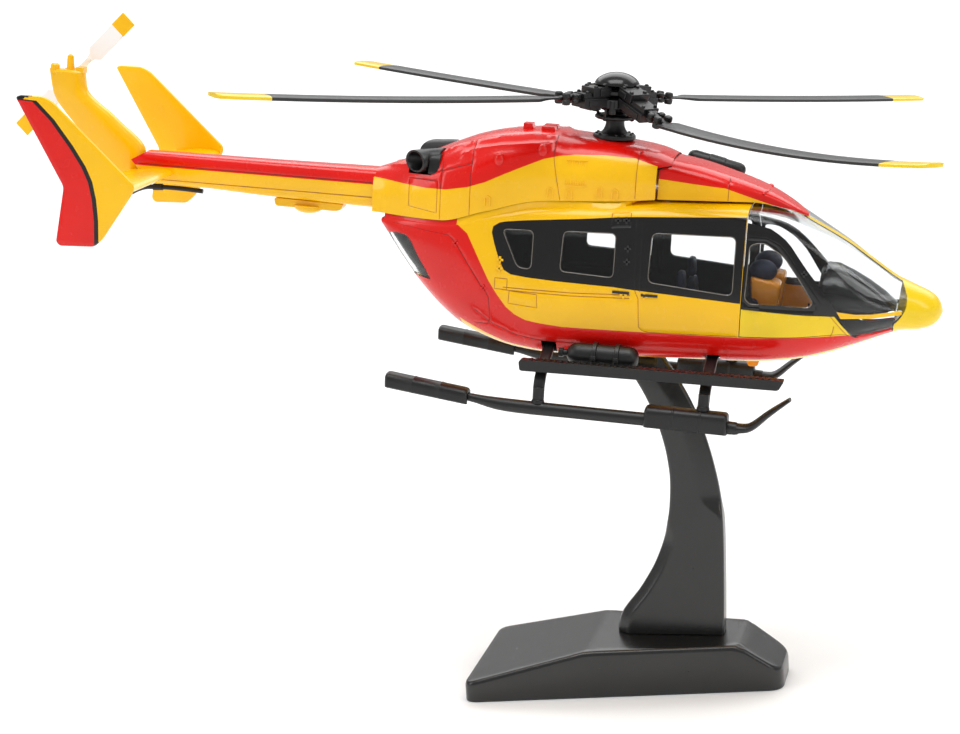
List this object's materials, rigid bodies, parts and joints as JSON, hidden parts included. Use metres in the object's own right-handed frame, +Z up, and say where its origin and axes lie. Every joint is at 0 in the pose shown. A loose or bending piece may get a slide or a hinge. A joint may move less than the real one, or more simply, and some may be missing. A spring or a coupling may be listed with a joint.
{
  "type": "helicopter scale model",
  "caption": "Scale model of a twin-engine light rescue helicopter with clear canopy, twin endplate tail and skids, held nose-down on a curved arm and wedge base.",
  "frame": {"origin": "middle of the stand base's length, on its underside, in the model's plane of symmetry", "axes": "+X towards the nose and the base's narrow end, +Y to port, +Z up"},
  "size_m": [0.2632, 0.1795, 0.1901],
  "materials": {
    "yellow_paint": "high gloss enamel",
    "lemon_paint": "high gloss",
    "yellow_plastic": "high gloss enamel",
    "red_paint": "high gloss enamel",
    "black_plastic": "satin moulded",
    "stand_black": "fine satin moulded",
    "blade_black": "satin with yellow tips",
    "white_paint": "satin with yellow tips",
    "clear": "clear polished plastic",
    "interior": "satin moulded",
    "floor": "satin moulded",
    "orange_plastic": "gloss",
    "steel": "plain bright steel"
  },
  "bodies": {
    "stand": {"stand_base": "stand_black", "base_plate": "stand_black", "stand_screw_front": "steel", "stand_screw_rear": "steel", "stand_arm": "stand_black"},
    "airframe": {"fuselage_shell": "yellow_paint", "engine_cowling": "yellow_plastic", "tail_boom": "yellow_plastic", "tail_fin": "yellow_plastic", "stabiliser": "yellow_plastic", "endplate_left": "yellow_plastic", "boom_antenna": "yellow_plastic", "tail_gearbox": "yellow_plastic", "nose_radome": "yellow_plastic", "roof_fairing": "red_paint", "endplate_right": "red_paint", "canopy": "clear", "tail_glazing": "clear", "side_glazing_left": "clear", "side_glazing_right": "clear", "cabin_floor": "floor", "rear_bench": "interior", "instrument_panel": "interior", "pilot_seat_left": "interior", "pilot_seat_right": "interior", "cabin_seat_left": "interior", "cabin_seat_right": "interior", "stand_socket": "black_plastic", "tail_guard": "black_plastic", "cross_tube_front": "black_plastic", "cross_tube_rear": "black_plastic", "bottle": "black_plastic", "bottle_strap_front": "black_plastic", "bottle_strap_rear": "black_plastic", "hoist": "black_plastic", "mast_support": "black_plastic", "exhaust_left": "black_plastic", "exhaust_right": "black_plastic", "skid_left": "black_plastic", "skid_right": "black_plastic", "step_left": "black_plastic", "step_right": "black_plastic", "float_pack_rear_left": "black_plastic", "float_pack_rear_right": "black_plastic", "float_pack_front_left": "black_plastic", "float_pack_front_right": "black_plastic", "belly_antenna": "orange_plastic"},
    "main_rotor": {"rotor_shaft": "steel", "swashplate": "black_plastic", "rotor_hub": "black_plastic", "hub_cap": "black_plastic", "main_blade_1": "blade_black", "main_blade_2": "blade_black", "main_blade_3": "blade_black", "main_blade_4": "blade_black"},
    "tail_rotor": {"tail_rotor_hub": "white_paint", "tail_blade_1": "white_paint", "tail_blade_2": "white_paint"}
  },
  "joints": [
    {"name": "lift_off", "type": "slide", "parent": "stand", "child": "airframe", "axis": [0.1045, 0, 0.9945], "range_m": [0, 0.012]},
    {"name": "main_rotor_spin", "type": "hinge", "parent": "airframe", "child": "main_rotor", "pos_m": [0.00365, 0, 0.1625], "axis": [0.1045, 0, 0.9945], "continuous": true},
    {"name": "tail_rotor_spin", "type": "hinge", "parent": "airframe", "child": "tail_rotor", "pos_m": [-0.15146, 0.006, 0.17337], "axis": [0, 1, 0], "continuous": true}
  ]
}
